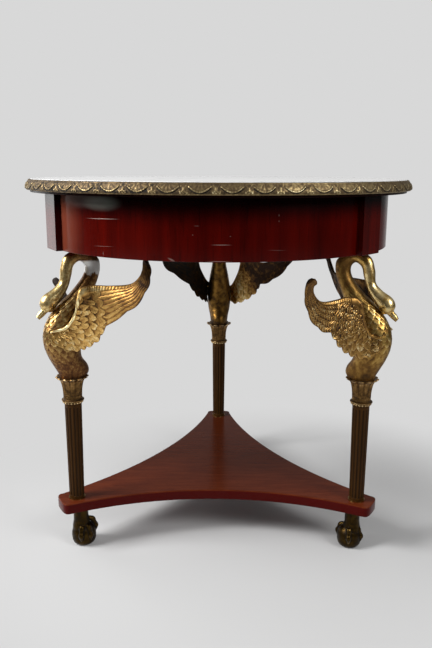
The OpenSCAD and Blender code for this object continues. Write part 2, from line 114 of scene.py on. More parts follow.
def softbox(name, place, towards, width, height, power):
    """A soft rectangular lamp at a place in metres, turned towards a point."""
    lamp = bpy.data.lights.new(name, "AREA")
    lamp.shape = "RECTANGLE"
    lamp.size = width
    lamp.size_y = height
    lamp.energy = power
    box = bpy.data.objects.new(name, lamp)
    away = (Vector(place) - Vector(towards)).to_track_quat("Z", "Y")
    box.matrix_world = Matrix.Translation(place) @ away.to_matrix().to_4x4()
    scene.collection.objects.link(box)


softbox("lamp_key", (-2.0, -0.7, 1.8), (0, 0, 0.4), 1.0, 1.0, 77)
softbox("wall_left", (-2.46, 1.62, 0.9), (-0.3, -0.2, 0.7), 1.3, 1.8, 16.5)
softbox("lamp_right", (1.7, -1.5, 1.8), (0.2, 0, 0.5), 1.0, 1.0, 31)

# Pale matt paper; to the camera, it turns into the plain background outside the table's shadow
floor_reach = 2.6
shadow_middle, shadow_r, plain_r = (0.13, -0.05, 0), 0.32, 0.8
floor_mesh = bpy.data.meshes.new("floor")
floor_mesh.from_pydata([(-1, -1, 0), (1, -1, 0), (1, 1, 0), (-1, 1, 0)], [], [(0, 1, 2, 3)])
floor_mesh.transform(Matrix.Scale(floor_reach, 4))
floor = bpy.data.objects.new("floor", floor_mesh)
scene.collection.objects.link(floor)
floor_paper, tree, place = new_finish("studio_paper")
far = add(tree, "VectorMath", {0: place, 1: shadow_middle}, operation="DISTANCE")
fade = add(tree, "MapRange", {0: far, 1: shadow_r, 2: plain_r}, interpolation_type="SMOOTHSTEP")
paper = add(tree, "BsdfDiffuse", {"Color": paint("#cccccc")})
glow = add(tree, "Emission", {"Color": background, "Strength": 1.0})
to_camera = add(tree, "LightPath").outputs["Is Camera Ray"]
seen = add(tree, "Math", {0: fade, 1: to_camera}, operation="MULTIPLY")
mixed = add(tree, "MixShader", {0: seen, 1: paper, 2: glow})
add(tree, "OutputMaterial", {"Surface": mixed})
floor_mesh.materials.append(floor_paper)


# Feet: three bronze claws, each grasping a ball, cast in one piece and left dark, with a stem up to the
# plinth. Ball, stem and talons are closed shells, fused by a fine remesh and eased like a casting.
MM = 0.001
leg_names = ["left", "right", "back"]
leg_angles = [210, 330, 90]
leg_r = 338


def skin(points):
    """A closed shell over a grid of points: rows of rings, quads between them, and both ends closed flat."""
    rows, columns, _ = points.shape
    r, c = np.meshgrid(np.arange(rows - 1), np.arange(columns), indexing="ij")
    n, d = r + 1, (c + 1) % columns
    quads = np.stack([r * columns + c, r * columns + d, n * columns + d, n * columns + c], -1).reshape(-1, 4)
    ends = [np.arange(columns)[::-1], np.arange(columns) + (rows - 1) * columns]
    return points.reshape(-1, 3), quads, ends


def on_leg(points, leg):
    """Points in a leg's own frame, out, sideways and up, moved out by its radius and turned to that leg."""
    turn = math.radians(leg_angles[leg])
    x, y, z = np.moveaxis(points, -1, 0)
    out = x + leg_r
    across, deep = out * math.cos(turn) - y * math.sin(turn), out * math.sin(turn) + y * math.cos(turn)
    return np.stack([across, deep, z], -1)


def piece(name, shells, finish, node, slot, body="table", crease=40, **tones):
    """Makes one object in metres from closed shells in millimetres, facing outwards, for a node of the frame.
    Tones are values for each point, kept as attributes that the finish reads."""
    points = np.concatenate([s[0] for s in shells])
    starts = np.cumsum([0] + [len(s[0]) for s in shells])
    quads = np.concatenate([s[1] + start for s, start in zip(shells, starts)])
    ends = [end + start for s, start in zip(shells, starts) for end in s[2]]
    sizes = np.concatenate([np.full(len(quads), 4), [len(e) for e in ends]]).astype(int)
    mesh = bpy.data.meshes.new(name)
    mesh.vertices.add(len(points))
    mesh.vertices.foreach_set("co", (points * MM).ravel())
    mesh.loops.add(sizes.sum())
    mesh.loops.foreach_set("vertex_index", np.concatenate([quads.ravel(), *ends]).astype(np.int32))
    mesh.polygons.add(len(sizes))
    mesh.polygons.foreach_set("loop_start", (np.cumsum(sizes) - sizes).astype(np.int32))
    mesh.update(calc_edges=True)
    facing = np.empty((3, len(sizes) * 3))
    mesh.polygons.foreach_get("center", facing[0])
    mesh.polygons.foreach_get("normal", facing[1])
    area = np.empty(len(sizes))
    mesh.polygons.foreach_get("area", area)
    if ((facing[0] * facing[1]).reshape(-1, 3).sum(1) * area).sum() < 0:
        mesh.flip_normals()
    for tone, values in tones.items():
        mesh.attributes.new(tone, "FLOAT", "POINT").data.foreach_set("value", values.ravel())
    mesh.shade_smooth()
    mesh.set_sharp_from_angle(angle=math.radians(crease))
    mesh.materials.append(finish)
    made = bpy.data.objects.new(name, mesh)
    scene.collection.objects.link(made)
    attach(made, body)
    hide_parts(node)
    return made


def cast_metal(name, dirt, brown, gold, rubbed, rough, patch_mm=14.0, relief=True, mended=False):
    """Cast and worn metal, coloured by how high a spot stands: dirt in hollows, then brown, gold and rubbed
    edges. Height is the relief attribute, or without one how sharply the skin bends outwards. Noise a patch
    wide moves the bounds; mended reads the attribute that marks grey solder instead of gilding."""
    finish, tree, place = new_finish(name)
    blotch = add(tree, "TexNoise", {"Vector": place, "Scale": 1000 / patch_mm, "Detail": 5.0,
                                    "Roughness": 0.6})
    uneven = add(tree, "Math", {0: blotch, 1: 0.9, 2: -0.45}, operation="MULTIPLY_ADD")
    if relief:
        height = add(tree, "Attribute", attribute_name="relief").outputs["Fac"]
    else:
        bend = add(tree, "NewGeometry").outputs["Pointiness"]
        height = add(tree, "MapRange", {0: bend, 1: 0.44, 2: 0.56})
    level = add(tree, "Math", {0: uneven, 1: height}, operation="ADD")
    colour = add(tree, "ValToRGB", {0: level})
    stops = colour.color_ramp.elements
    stops[0].position, stops[0].color = 0.12, paint(dirt)
    stops[1].position, stops[1].color = 0.98, paint(rubbed)
    stops.new(0.4).color = paint(brown)
    stops.new(0.72).color = paint(gold)
    # Dirt is dull and hides half of the metal
    dull = add(tree, "MapRange", {0: level, 1: 0.15, 2: 0.6, 3: 0.65, 4: rough})
    clean = add(tree, "MapRange", {0: level, 1: 0.1, 2: 0.5, 3: 0.5, 4: 1.0})
    if mended:
        solder = add(tree, "Attribute", attribute_name="mended").outputs["Fac"]
        colour = add(tree, "Mix", {0: solder, 6: colour, 7: paint("#ececea")}, data_type="RGBA")
        dull = add(tree, "Mix", {0: solder, 2: dull, 3: 0.35})
        clean = add(tree, "Mix", {0: solder, 2: clean, 3: 0.5})
    # Sand-cast grain about 1 mm wide
    grain = add(tree, "TexNoise", {"Vector": place, "Scale": 900.0, "Detail": 2.0})
    uneven_dull = add(tree, "Math", {0: grain, 1: 0.1, 2: dull}, operation="MULTIPLY_ADD")
    pits = add(tree, "Bump", {"Height": grain, "Strength": 0.2, "Distance": 0.0004})
    shader = add(tree, "BsdfPrincipled", {"Base Color": colour, "Metallic": clean,
                                          "Roughness": uneven_dull, "Normal": pits})
    add(tree, "OutputMaterial", {"Surface": shader})
    return finish


def tube(path, radii, side, sides=20):
    """A round bar along a flat path: rings square to the path. Side is the direction square to its plane."""
    along = np.gradient(path, axis=0)
    along /= np.linalg.norm(along, axis=1, keepdims=True)
    across = np.cross(along, side)
    turn = np.linspace(0, math.tau, sides, endpoint=False)
    ring = np.cos(turn)[None, :, None] * np.asarray(side) + np.sin(turn)[None, :, None] * across[:, None, :]
    return path[:, None, :] + radii[:, None, None] * ring


def around(radius, turn, height):
    """Points at a radius and a turn about the upright middle line, and at a height."""
    return np.stack([radius * np.cos(turn), radius * np.sin(turn), height + 0 * turn], -1)


def revolved(profile, sides=96, centre=(0.0, 0.0)):
    """A profile of radius and height carried round an upright line."""
    turn = np.linspace(0, math.tau, sides, endpoint=False)
    return around(profile[:, :1], turn, profile[:, 1:]) + (*centre, 0)


def hump(off, width):
    """A bell curve: 1 where off is 0, and falling away to both sides over a width."""
    return np.exp(-(off / width) ** 2)


foot_h = 85
ball_r, ball_up, ball_x = 25.3, 23.5, -12
fullness = 3.4
stem_x = -7
stem_profile = np.array([[14, 30], [18.2, 36], [18, 43], [16.6, 49], [15.6, 56], [15.4, 70],
                         [15.5, foot_h - 0.2]])
talon_r = 4.4
# Angles from level, in radians, where a talon starts to taper into its claw and where that would end
claw_at, claw_end = -0.08, -0.66
# Turn of each talon from outwards in degrees, and how far it is set up the ball
even_talons = ((0, 0), (72, 0), (180, 0), (288, 0))
talons = {"left": ((58, 0), (105, 0), (170, 9), (290, 0)), "right": even_talons, "back": even_talons}


def squat(lift):
    """How far out the ball goes at an angle from level: 1 above its middle, where it is round. Below, it is a
    blunt oval, whose height and breadth to the power of its fullness add up to 1, so that it sits flat."""
    below = (np.abs(np.cos(lift)) ** fullness + np.abs(np.sin(lift)) ** fullness) ** (-1 / fullness)
    return np.where(lift < 0, below, 1)


# Bronze left as cast and never gilt: near black, brown where hands and brooms have rubbed it
foot_bronze = cast_metal("dark_cast_bronze", "#0a0603", "#21170a", "#453417", "#a68248", 0.24, relief=False)
for leg, name in enumerate(leg_names):
    lift = np.linspace(-math.pi / 2 + 0.02, math.pi / 2 - 0.02, 48)
    reach = ball_r * squat(lift)
    ball_profile = np.stack([reach * np.cos(lift), np.maximum(ball_up + reach * np.sin(lift), 0.3)], -1)
    shells = [skin(on_leg(revolved(ball_profile, centre=(ball_x, 0)), leg)),
              skin(on_leg(revolved(stem_profile, centre=(stem_x, 0)), leg))]
    for turn, raised in talons[name]:
        a = math.radians(turn)
        lift = np.radians(np.linspace(78, -36, 40))
        knuckles = hump(lift - 0.75, 0.2) + 0.8 * hump(lift - 0.12, 0.16)
        reach = (ball_r - 0.6 + 1.2 * knuckles - 4.0 * np.maximum(-0.2 - lift, 0)) * squat(lift)
        path = np.stack([ball_x + reach * np.cos(lift) * math.cos(a), reach * np.cos(lift) * math.sin(a),
                         ball_up + raised + reach * np.sin(lift)], -1)
        claw = talon_r * np.clip((lift - claw_end) / (claw_at - claw_end), 0.12, 1)
        thick = np.where(lift > claw_at, talon_r + 1.5 * knuckles, claw)
        shells.append(skin(on_leg(tube(path, thick, (math.sin(a), -math.cos(a), 0)), leg)))
    foot = piece("claw_foot_" + name, shells, foot_bronze, "foot_" + name, "foot_bronze")
    remesh = foot.modifiers.new("one skin", "REMESH")
    remesh.mode = "VOXEL"
    remesh.voxel_size = 0.9 * MM
    remesh.use_smooth_shade = True
    smooth = foot.modifiers.new("eased", "SMOOTH")
    smooth.factor = 0.5
    smooth.iterations = 3


# Plinth: a thick three-armed board with hollow sides and blunted tips, veneered in mahogany, its edges eased.
# It is a stack of scaled outlines, since every point of its edge is in plain view from its middle.
def mahogany(name, dark, light, streaks, gloss=0.22, coat=0.2, marks=(), bands=()):
    """French-polished mahogany: red streaks along the grain, dark pores in them and a clear coat over all.
    Streaks gives, for x, y and z, how often the figure changes per metre, and coat how thick the polish lies.
    Bands are stretches along an axis, in mm, over which a tint comes in up to a strength. Marks are ovals
    that show pale or in a tint: place in x and z, half length, half width, tilt in degrees and strength."""
    finish, tree, place = new_finish(name)
    along = add(tree, "Mapping", {"Vector": place, "Scale": streaks})
    figure = add(tree, "TexNoise", {"Vector": along, "Scale": 1.0, "Detail": 6.0, "Roughness": 0.62,
                                    "Distortion": 0.4})
    pores = add(tree, "TexNoise", {"Vector": along, "Scale": 7.0, "Detail": 2.0})
    depth = add(tree, "MapRange", {0: figure, 1: 0.22, 2: 0.78})
    red = add(tree, "Mix", {0: depth, 6: paint(dark), 7: paint(light)}, data_type="RGBA")
    pore = add(tree, "MapRange", {0: pores, 1: 0.42, 2: 0.30, 4: 0.35})
    colour = add(tree, "Mix", {0: pore, 6: red, 7: paint("#160201")}, data_type="RGBA")
    parts = add(tree, "SeparateXYZ", {0: place})
    for axis, low, high, tint, strength in bands:
        shaded = add(tree, "MapRange", {0: parts.outputs[axis], 1: low * MM, 2: high * MM, 4: strength},
                     interpolation_type="SMOOTHSTEP")
        colour = add(tree, "Mix", {0: shaded, 6: colour, 7: paint(tint)}, data_type="RGBA")
    for x, z, half_length, half_width, tilt, strength, *tint in marks:
        there = add(tree, "Mapping", {"Vector": place, "Location": (x * MM, 0, z * MM),
                                      "Rotation": (0, math.radians(tilt), 0),
                                      "Scale": (half_length * MM, 1000.0, half_width * MM)},
                    vector_type="TEXTURE")
        away = add(tree, "VectorMath", {0: there}, operation="LENGTH")
        mark = add(tree, "MapRange", {0: away, 1: 1.0, 2: 0.2, 4: strength}, interpolation_type="SMOOTHSTEP")
        pale = paint(*tint or ["#b9a29a"])
        colour = add(tree, "Mix", {0: mark, 6: colour, 7: pale}, data_type="RGBA")
    rub = add(tree, "TexNoise", {"Vector": place, "Scale": 9.0, "Detail": 3.0})
    rough = add(tree, "MapRange", {0: rub, 3: gloss - 0.06, 4: gloss + 0.12})
    ripple = add(tree, "Bump", {"Height": pores, "Strength": 0.15, "Distance": 0.0003})
    shader = add(tree, "BsdfPrincipled", {"Base Color": colour, "Roughness": rough, "Normal": ripple,
                                          "Specular IOR Level": 0.05, "Coat Weight": coat, "Coat IOR": 1.2,
                                          "Coat Roughness": 0.16})
    add(tree, "OutputMaterial", {"Surface": shader})
    return finish


def slab(outline, middle, low, high, ease):
    """A solid between two heights: an outline shrunk towards a middle, its edges eased by quarter circles."""
    along = np.roll(outline, -1, 0) - np.roll(outline, 1, 0)
    inward = np.stack([-along[:, 1], along[:, 0]], -1) / np.linalg.norm(along, axis=1, keepdims=True)
    round_off = np.linspace(0, math.pi / 2, 5)
    edge = [(ease * (1 - math.sin(a)), low + ease * (1 - math.cos(a))) for a in round_off]
    edge += [(inset, low + high - height) for inset, height in reversed(edge)]
    rings = [outline + inward * inset for inset, height in edge]
    inner = [middle + (rings[0] - middle) * share for share in (0.02, 0.25, 0.5, 0.75, 0.95, 0.996)]
    levels = [low] * len(inner) + [height for inset, height in edge] + [high] * len(inner)
    return np.stack([np.column_stack([points, np.full(len(outline), level)])
                     for points, level in zip(inner + rings + inner[::-1], levels)])


def straight(start, end, count):
    """Points from one corner towards the next, without the last."""
    return start + (end - start) * np.linspace(0, 1, count, endpoint=False)[:, None]


plinth_low, plinth_high = foot_h, foot_h + 21.7
tip_out, tip_half = leg_r + 32.5, 28
# How far out the middle of each hollow side is, from the side after the left leg
waists = [132, 158, 158]
# A tip's nose, how far back its rounding starts along both sides, and the power of that oval
nose_out = tip_out + 3.5
joined_back = 13
bluntness = 3.4


def blunted(start, nose, centre, share):
    """A quarter of a blunt oval about a centre, from start (share 0) to nose (share 1)."""
    return (centre + (start - centre) * np.cos(share * math.pi / 2) ** (2 / bluntness)
            + (nose - centre) * np.sin(share * math.pi / 2) ** (2 / bluntness))


sides = []
for leg in range(3):
    middle = math.radians(leg_angles[leg]) + math.pi / 3
    chord = tip_out * math.cos(math.pi / 3) + tip_half * math.sin(math.pi / 3)
    half = tip_out * math.sin(math.pi / 3) - tip_half * math.cos(math.pi / 3)
    sag = chord - waists[leg]
    arc_r = (half ** 2 + sag ** 2) / (2 * sag)
    sweep = math.asin(half / arc_r) - joined_back / arc_r
    turns = middle + math.pi + np.linspace(sweep, -sweep, 90)
    centre = (waists[leg] + arc_r) * np.array([math.cos(middle), math.sin(middle)])
    sides.append(centre + arc_r * np.stack([np.cos(turns), np.sin(turns)], -1))
outline = []
for leg in range(3):
    a = math.radians(leg_angles[leg])
    out = np.array([math.cos(a), math.sin(a)])
    before, after = sides[leg - 1][-1], sides[leg][0]
    share = np.linspace(0, 1, 14)[1:, None]
    outline.append(blunted(before, nose_out * out, (before @ out) * out, share))
    outline.append(blunted(after, nose_out * out, (after @ out) * out, share)[-2::-1])
    outline.append(sides[leg])
# Faded figure 8 mm wide and 70 mm long. Painted shade: darker towards the back, under the top, and the
# edge tinted a deeper red than the top, without the top's pale sheen
plinth_veneer = mahogany("polished_mahogany_plinth", "#4b1a0a", "#6b2f16", (14.0, 120.0, 120.0), 0.2, 0.35,
                         bands=[("Y", -170, 90, "#1a0803", 0.5),
                                ("Z", plinth_high - 1, plinth_high - 3, "#450100", 0.95)])
piece("plinth_board", [skin(slab(np.concatenate(outline), np.zeros(2), plinth_low, plinth_high, 1.6))],
      plinth_veneer, "plinth", "plinth_mahogany")


# Rings at the foot of each column: thin turned brass, slipped over the column's end, like the small pins of
# wings and rim. Tie rods and screws are plain steel bar and hidden. All keep the frame's own shape.
def plain_metal(name, colour, rough):
    """Turned or drawn metal: one colour with darker tool lines, which are also a little duller. They are
    drawn 1.4 mm wide, because finer ones wouldn't show."""
    finish, tree, place = new_finish(name)
    lines = add(tree, "TexNoise", {"Vector": place, "Scale": 700.0, "Detail": 2.0})
    dull = add(tree, "MapRange", {0: lines, 3: rough - 0.08, 4: rough + 0.12})
    shade = add(tree, "Mix", {0: lines, 6: paint(colour), 7: paint("#3a3128")}, data_type="RGBA")
    shader = add(tree, "BsdfPrincipled", {"Base Color": shade, "Metallic": 1.0, "Roughness": dull})
    add(tree, "OutputMaterial", {"Surface": shader})
    return finish


def dress(finish, *nodes):
    """Gives the frame's own pieces a finish."""
    for node in nodes:
        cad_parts[node].data.materials.clear()
        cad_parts[node].data.materials.append(finish)


dress(plain_metal("turned_brass", "#c9a25c", 0.3), "base_rings", "wing_pins", "rim_pins")
dress(plain_metal("drawn_steel", "#9a9894", 0.35), "board_screws", *("tie_rod_" + n for n in leg_names),
      *("neck_screw_" + n for n in leg_names))


# Columns: tapering shafts in dark stained wood, fluted with a round-nosed cutter that stops before the ends.
# The shaft is a cone on a grid of turn and height; each flute is the arc that the cutter leaves in it.
def ramp(past, length):
    """0 before a start, then evenly up to 1 over a length, and 1 after it."""
    return np.clip(past / length, 0, 1)


column_low, column_h = plinth_high, 209.3
foot_r, top_r = 15.25, 17.25
# The cutter is 4.4 mm wide and its middle stays 0.8 mm out of the wood, so that a flute is 1.4 mm deep
flutes, flute_w, flute_stop, cutter_out = 14, 4.4, 7, 0.8
# Rows lie close together in the two stretches where the flutes end
fine_h, gap = 14, 2
height = np.concatenate([np.linspace(0, fine_h, 26), np.linspace(fine_h + gap, column_h - fine_h - gap, 30),
                         np.linspace(column_h - fine_h, column_h, 26)])
turn = np.linspace(0, math.tau, flutes * 16, endpoint=False)
lane = np.abs((turn * flutes / math.tau + 0.5) % 1 - 0.5)
taper = foot_r + (top_r - foot_r) * height / column_h
past_end = np.maximum(np.abs(height - column_h / 2) - (column_h / 2 - flute_stop - flute_w / 2), 0)
from_cutter = np.hypot(lane[None, :] * math.tau * taper[:, None] / flutes, past_end[:, None])
cut = np.maximum(np.sqrt(np.maximum((flute_w / 2) ** 2 - from_cutter ** 2, 0)) - cutter_out, 0)
radius = taper[:, None] - cut
shaft = around(radius, turn, column_low + height[:, None])
# Close-grained wood, stained near black and waxed: streaks 7 mm wide, old wax in the flutes, a faint sheen
finish, tree, place = new_finish("stained_and_waxed_hardwood")
streak = add(tree, "Mapping", {"Vector": place, "Scale": (150.0, 150.0, 7.0)})
figure = add(tree, "TexNoise", {"Vector": streak, "Scale": 1.0, "Detail": 5.0})
clean = add(tree, "Attribute", attribute_name="relief").outputs["Fac"]
tone = add(tree, "Mix", {0: figure, 6: paint("#271504"), 7: paint("#4b2f0f")}, data_type="RGBA")
colour = add(tree, "Mix", {0: clean, 6: paint("#0d0704"), 7: tone}, data_type="RGBA")
shader = add(tree, "BsdfPrincipled", {"Base Color": colour, "Roughness": 0.42, "Specular IOR Level": 0.06,
                                      "Coat Weight": 0.03, "Coat Roughness": 0.15})
add(tree, "OutputMaterial", {"Surface": shader})
for leg, name in enumerate(leg_names):
    piece("fluted_shaft_" + name, [skin(on_leg(shaft, leg))], finish, "column_" + name, "column_mahogany",
          relief=1 - 0.6 * ramp(cut, flute_w / 2 - cutter_out))


# Capitals: cast bronze, chased and darkened: a row of beads, a moulded collar, a band of chevrons, a bell of
# upright leaves and a thin leafy plate with curled tips. One profile is carried round, and each ornament is
# added to its radius.
capital_low, capital_h = column_low + column_h, 55
collar_r, collar_up, throat_r = 22.75, 5.9, 18.15
beads, bead_r, bead_up, bead_top, bead_ring_r = 20, 2.5, 2.4, 4.4, 19
chevrons, band_low, band_high = 24, 10.4, 16.4
leaves, leaf_low = 12, 18.8
outline = np.array([
    [17.2, 0.0], [18.2, 0.1], [18.6, 0.6], [18.6, 4.2], [20.5, bead_top], [collar_r - 0.4, 5.0],
    [collar_r, collar_up], [collar_r - 0.3, 7.0], [20.6, 7.8], [19.4, 8.6], [throat_r + 0.2, 9.4],
    [throat_r, band_low], [throat_r, band_high], [throat_r + 0.9, 17.2], [throat_r + 0.9, 18.2],
    [throat_r + 0.4, leaf_low], [throat_r + 0.6, 24], [throat_r + 1.1, 30], [throat_r + 2.2, 38],
    [throat_r + 3.6, 44], [throat_r + 5.6, 48.5], [25.5, 50.6], [29.5, 52.3], [31.6, 53.0], [32.4, 53.8],
    [31.8, 54.6], [29, 54.9], [20, 54.95], [8, 55]])
steps = np.concatenate([[0], np.cumsum(np.hypot(*np.diff(outline, axis=0).T))])
plate_underside, plate_edge = steps[-6], steps[-5]
walk = np.linspace(0, steps[-1], 190)
radius = np.interp(walk, steps, outline[:, 0])[:, None]
height = np.interp(walk, steps, outline[:, 1])[:, None]
turn = np.linspace(0, math.tau, 320, endpoint=False)[None, :]
# Beads: half balls in a ring
to_bead = np.abs((turn * beads / math.tau) % 1 - 0.5) * math.tau * bead_ring_r / beads
bead = np.sqrt(np.maximum(bead_r ** 2 - to_bead ** 2 - (height - bead_up) ** 2, 0)) * (height < bead_top)
# Chevrons: slanting ridges
slant = np.abs((turn * chevrons / math.tau + (height - band_low) / 12) % 1 - 0.5) * 2
band = ((height > band_low) & (height < band_high)) * (0.9 * np.abs(np.sin(math.pi * slant)) - 0.2)
# Leaves: ridges that swell upwards and end in points, each with a sunken middle vein and fine side veins
leaf = np.abs((turn * leaves / math.tau) % 1 - 0.5) * 2
rise = ramp(height - leaf_low, 33)
tip_shape = np.clip((1 - leaf) * 3 + (0.93 - rise) * 6, 0, 1)
leafy = (height > leaf_low) & (walk[:, None] < plate_edge)
ornament = leafy * tip_shape * (0.3 + 0.9 * rise ** 2) * (1 - leaf ** 3) * (1 - 0.45 * hump(leaf, 0.12))
ornament += leafy * 0.2 * np.cos(math.tau * 4 * leaf)
# Plate: notched between the leaves, with each tip curled up
lobe = 0.5 + 0.5 * np.cos(turn * leaves + math.pi)
edge = ramp(radius - 25, 6.5)
notch = 3.4 * (1 - lobe) ** 3 * edge
curl = 1.5 * lobe * edge ** 2 * np.where(walk[:, None] > plate_underside, 1, 0.6)
body = radius + bead + band + ornament - notch
bell = around(body, turn, capital_low + height + curl)
high_parts = np.clip(0.4 + 0.55 * bead / bead_r + 0.35 * band + 0.3 * ornament + 0.5 * edge * lobe
                     + 0.35 * (np.abs(height - collar_up) < 1.2), 0, 1)
# Bronze washed with brown lacquer, rubbed through to yellow on beads, collar and leaf tips
capital_bronze = cast_metal("chased_bronze_dark", "#1a1108", "#523b1f", "#8e6c40", "#dcbf8c", 0.3, 8.0)
for leg, name in enumerate(leg_names):
    piece("chased_capital_" + name, [skin(on_leg(bell, leg))], capital_bronze, "capital_" + name,
          "capital_bronze", relief=high_parts + 0 * bell[..., 0])


# Swans: hollow gilt-bronze castings, breast, arched neck and head in one, with overlapping feathers chased on
# the breast and a burnished neck. Each is a ring carried through stations up the breast, over the arch and to
# the beak.
swan_low = capital_low + capital_h
arch_top = 256
# Outer edge out and up, inner edge out and up, half width
stations = np.array([
    [24, 0, -30, 0, 21.5], [27, 9, -35, 10, 22.5], [35, 24, -32, 23, 24.5], [44, 41, -21, 40, 28.5],
    [52, 62, -19.5, 59, 31], [55, 84, -22, 82, 31], [51, 107, -28, 108, 28.5], [39, 129, -38, 140, 24],
    [23, 147, -49, 168, 19.5], [-4, 170, -61, 196, 16], [-30, 200, -66, 218, 13.6], [-35, 221, -61, 238, 12.6],
    [-25, 232, -30, 255, 12], [-12, 224, 3, 245, 11.4], [-7, 206, 14, 220, 11], [0, 184, 17, 195, 10.8],
    [11, 165, 30, 181, 12.4], [27, 145, 50, 168, 14.5], [35.5, 136.5, 57, 153, 12.5],
    [44, 134.5, 56.5, 142.5, 6.6], [53, 127.5, 61.8, 136, 5.8], [60.5, 122.3, 65.8, 129, 4]])
# Where the breast ends and the parts of the face lie, counted in stations, and the neck pad
breast_end, eye_at, cheek_at, bill_at = 8, 17.35, 17.7, 18.8
pad_r, pad_h, pad_x = 8.5, 10, -28


def through(points, share):
    """A smooth curve through points at shares from 0 to 1: each span is the cubic set by its four nearest."""
    spans = len(points) - 1
    i = np.minimum((share * spans).astype(int), spans - 1)
    t = (share * spans - i)[:, None]
    p0, p1, p2, p3 = points[np.maximum(i - 1, 0)], points[i], points[i + 1], points[np.minimum(i + 2, spans)]
    return 0.5 * (2 * p1 + (p2 - p0) * t + (2 * p0 - 5 * p1 + 4 * p2 - p3) * t ** 2
                  + (3 * p1 - p0 - 3 * p2 + p3) * t ** 3)


def feathers(across, down):
    """Overlapping round-ended feathers, one apart both ways. Each rises from 0 at its root to 1 at its round
    end, half a feather beside those of the next row, and a low step runs round that end, which as tone is
    painted shade cast by that end."""
    row = np.floor(down)
    own = down - row
    beside = (across + 0.5 * ((row - 1) % 2)) % 1 - 0.5
    spine = (across + 0.5 * (row % 2)) % 1 - 0.5
    reach = 1 + np.sqrt(np.maximum(1 - 4 * beside ** 2, 0))
    own_reach = 1 + np.sqrt(np.maximum(1 - 4 * spine ** 2, 0))
    past = own + 1 - reach
    under = own / own_reach * (1 - 0.9 * np.exp(-np.maximum(past, 0) / 0.2))
    level = np.where(past < 0, (own + 1) / reach, under)
    middle_line = np.where(past < 0, beside, spine)
    return level * (1 - 0.8 * middle_line ** 2) - 0.12 * hump(middle_line, 0.07)


share = np.linspace(0, 1, 300)
station = share[:, None] * (len(stations) - 1)
turn = np.linspace(0, math.tau, 136, endpoint=False)[None, :]
ring = through(stations, share)
middle = np.stack([(ring[:, 0] + ring[:, 2]) / 2, (ring[:, 1] + ring[:, 3]) / 2], -1)
depth = np.stack([(ring[:, 0] - ring[:, 2]) / 2, (ring[:, 1] - ring[:, 3]) / 2], -1)
round_depth = depth[:, None, :] * np.cos(turn)[..., None]
body_grid = np.stack([middle[:, None, 0] + round_depth[..., 0], ring[:, None, 4] * np.sin(turn) + 0 * station,
                      swan_low + middle[:, None, 1] + round_depth[..., 1]], -1)
# Plumage: rows of feathers as long as 0.8 of their width, on the front of the breast, counted from the top
feather_columns, feather_lift = 14, 1.25
girth = math.pi * (np.linalg.norm(depth, axis=1) + ring[:, 4])
step = np.linalg.norm(np.diff(middle, axis=0, prepend=middle[:1]), axis=1)
rows_up = np.cumsum(step / (0.8 * girth / feather_columns))[:, None]
plumage = feathers(turn * feather_columns / math.tau + 0 * rows_up, 40 - rows_up + 0 * turn)
feathered = ramp(station - 2.2, 2.6) * ramp(10.2 - station, 2.4)
feathered = feathered * ramp(np.cos(turn) + 0.6, 0.6)
# Face: eyes under brows, cheeks, and a bill with a gape along each side
side_of_head = np.cos(turn) * 3.2 - 1.1
on_side = np.abs(np.sin(turn)) > 0.5
eye = np.exp(-(((station - eye_at) / 0.16) ** 2 + (side_of_head / 0.5) ** 2)) * on_side
brow = np.exp(-(((station - eye_at) / 0.3) ** 2 + (side_of_head / 1.0) ** 2)) * on_side
cheek = hump(station - cheek_at, 0.6)
bill_root = hump(station - bill_at - 0.1, 0.3)
bill = ramp(station - bill_at, 0.3)
gape = np.exp(-(np.cos(turn) - 0.15) ** 2 / 0.02) * ramp(station - bill_at - 0.3, 0.3)
rise = feather_lift * feathered * (plumage - 1)
rise = rise + 1.5 * eye - 0.7 * brow + 1.1 * cheek - 0.6 * bill_root - 0.4 * gape
lift = np.cross(np.gradient(body_grid, axis=1), np.gradient(body_grid, axis=0))
lift /= np.maximum(np.linalg.norm(lift, axis=2, keepdims=True), 1e-6)
centre = np.stack([middle[:, 0], 0 * share, swan_low + middle[:, 1]], -1)[:, None, :]
lift *= np.sign((lift * (body_grid - centre)).sum((1, 2)))[:, None, None]
swan_grid = body_grid + lift * rise[..., None]
neck_pad = revolved(np.array([[pad_r, -pad_h], [pad_r, -0.2]]), 48, (pad_x, 0))
neck_pad[..., 2] += swan_low + arch_top
# Tone from foot to beak: brown foot, gilt breast, the neck's arch darker, partly brown streaks and partly
# painted shade under the apron, then a burnished neck and head, lightened further as painted light
tone_along = np.interp(station, [0, 2.5, 5, 8, 9.5, 12, 13.5, 22],
                       [0.36, 0.4, 0.52, 0.54, 0.42, 0.44, 0.82, 0.84])
swan_relief = tone_along + feathered * (0.62 * plumage - 0.27)
swan_relief = np.clip(swan_relief - 0.5 * gape - 0.4 * brow + 0.3 * eye, 0, 1)
# A grey soldered mend on the rear of the left swan's neck, with a torn lower edge
mend_low, mend_high, mend_out = 206, 234, -24
grid_out, grid_up = body_grid[..., 0], body_grid[..., 2] - swan_low
torn = mend_low + 3 * np.sin(grid_out * 0.35) + 1.2 * np.sin(grid_out * 1.1 + 1)
solder = ramp(grid_up - torn, 1.2) * ramp(mend_high - grid_up, 3)
solder = solder * ramp(mend_out - grid_out, 3)
# Fire-gilt bronze: the left swan warm and mottled, the right one lightened as painted light, the back one
# darkened as painted shade
swan_finishes = {
    "left": cast_metal("gilt_bronze_left", "#26160a", "#6c4627", "#ae8c54", "#e8d398", 0.3, 5.0, mended=True),
    "right": cast_metal("gilt_bronze_right_painted_light", "#26170b", "#7b5829", "#bd9a56", "#fce6ac", 0.29),
    "back": cast_metal("gilt_bronze_back_painted_shade", "#100a05", "#3a2712", "#8a6630", "#e0bc70", 0.36)}
